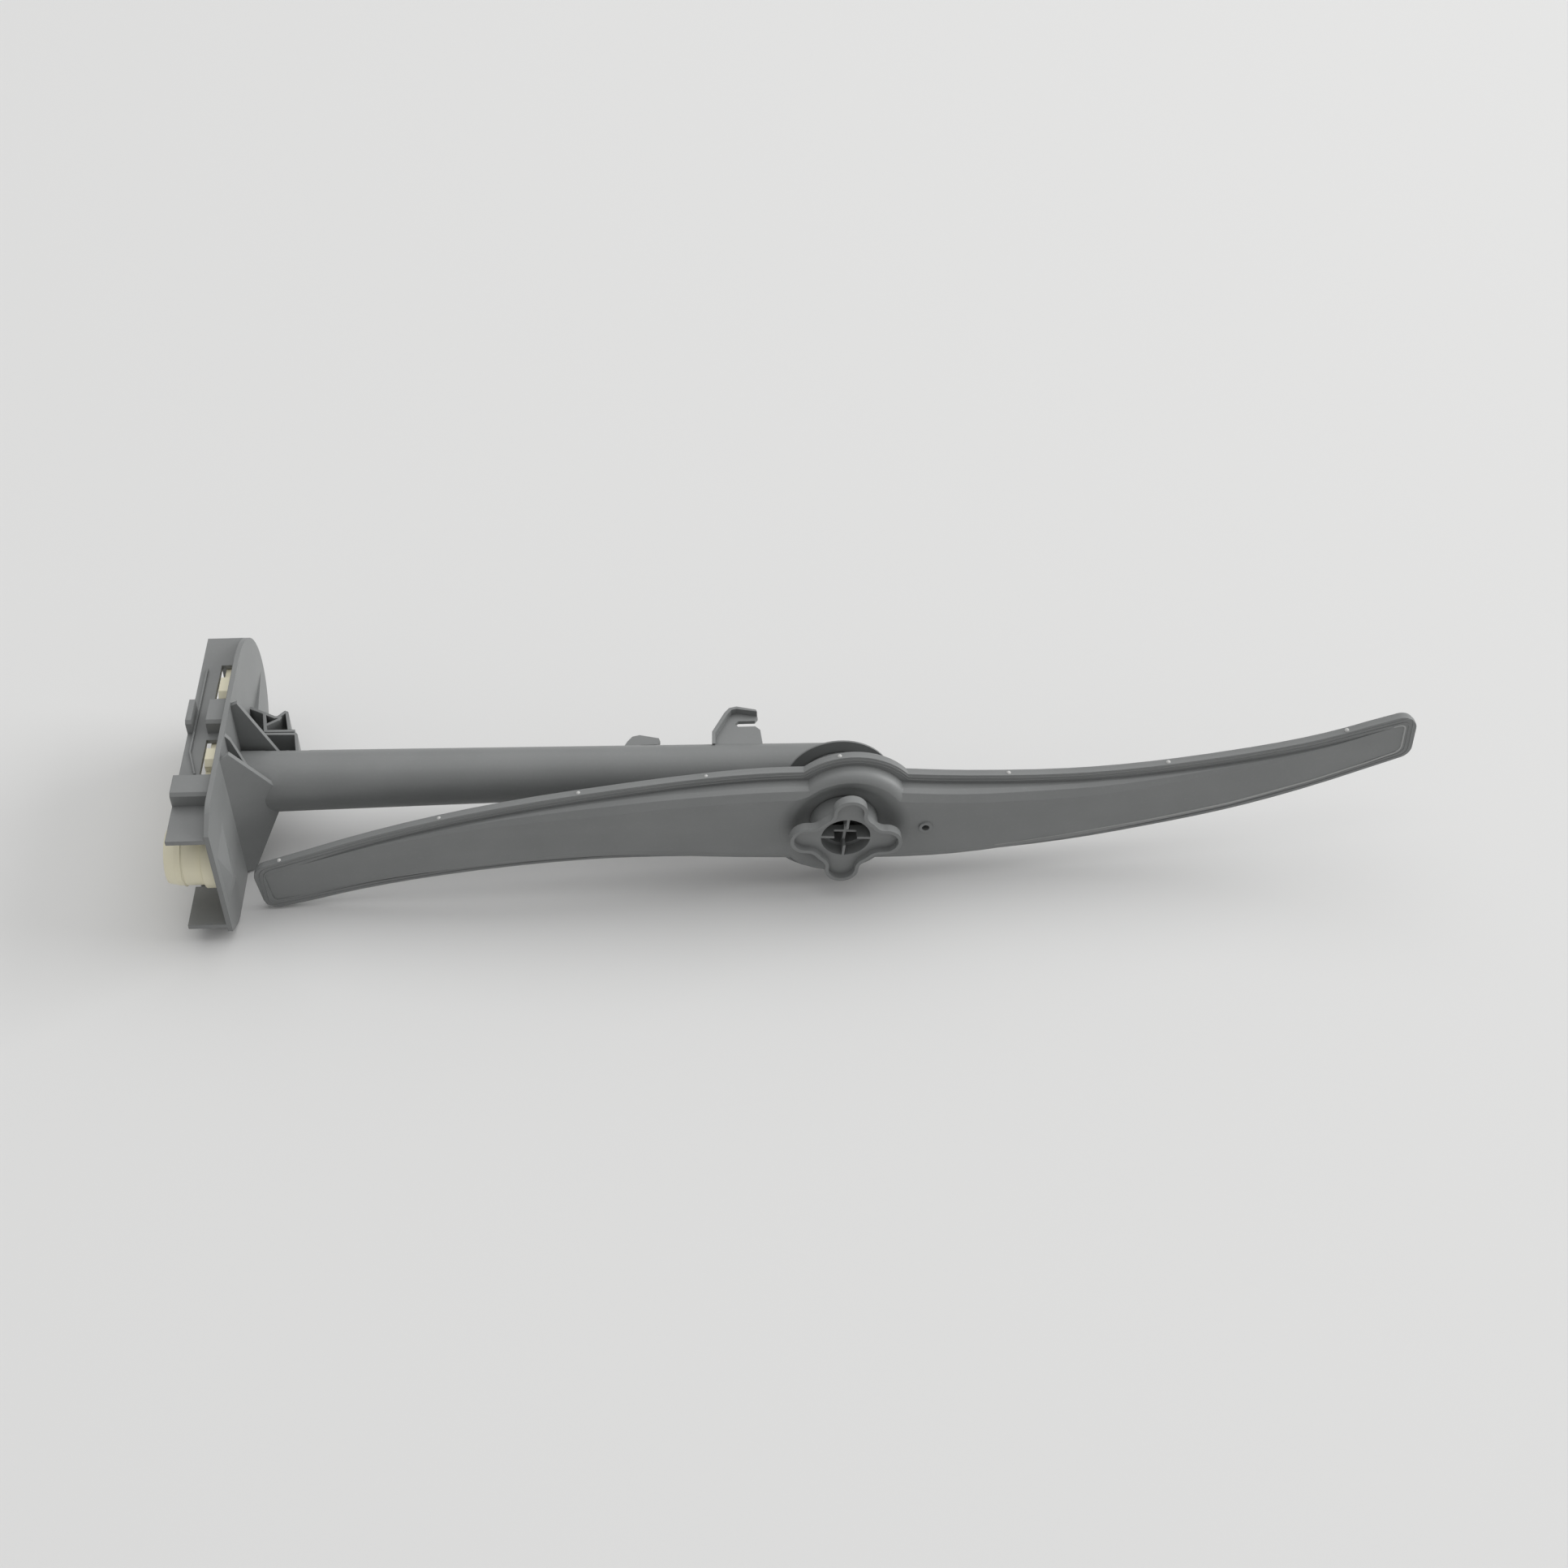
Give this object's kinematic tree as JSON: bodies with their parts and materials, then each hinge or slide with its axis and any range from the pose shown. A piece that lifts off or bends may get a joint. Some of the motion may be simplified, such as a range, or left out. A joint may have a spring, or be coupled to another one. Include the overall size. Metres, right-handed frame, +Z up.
{
  "type": "dishwasher spray arm",
  "caption": "Upper dishwasher spray arm: S-shaped two-shell arm on a hub at the end of a tapered feed pipe with a rear docking plate, sliding nozzle and rack hooks.",
  "frame": {"origin": "centre of the docking nozzle's mouth", "axes": "+X along the feed pipe from the docking mouth to the hub, +Y to the side that is the top in use, +Z up as the part lies on its side"},
  "size_m": [0.4935, 0.1284, 0.0668],
  "materials": {
    "grey_plastic": "satin moulded polypropylene",
    "cream_plastic": "satin moulded acetal"
  },
  "bodies": {
    "pipe": {"feed_pipe": "grey_plastic", "docking_shroud": "grey_plastic", "retaining_nut": "grey_plastic"},
    "arm": {"arm_upper_shell": "grey_plastic", "arm_lower_shell": "grey_plastic", "bearing_ring": "cream_plastic"},
    "dock": {"docking_slide": "cream_plastic"}
  },
  "joints": [
    {"name": "arm_spin", "type": "hinge", "parent": "pipe", "child": "arm", "pos_m": [0.265, 0.0403, 0], "axis": [0.0541, -0.9985, 0], "continuous": true},
    {"name": "dock_slide", "type": "slide", "parent": "pipe", "child": "dock", "axis": [0, 1, 0], "range_m": [-0.0045, 0.005]}
  ]
}
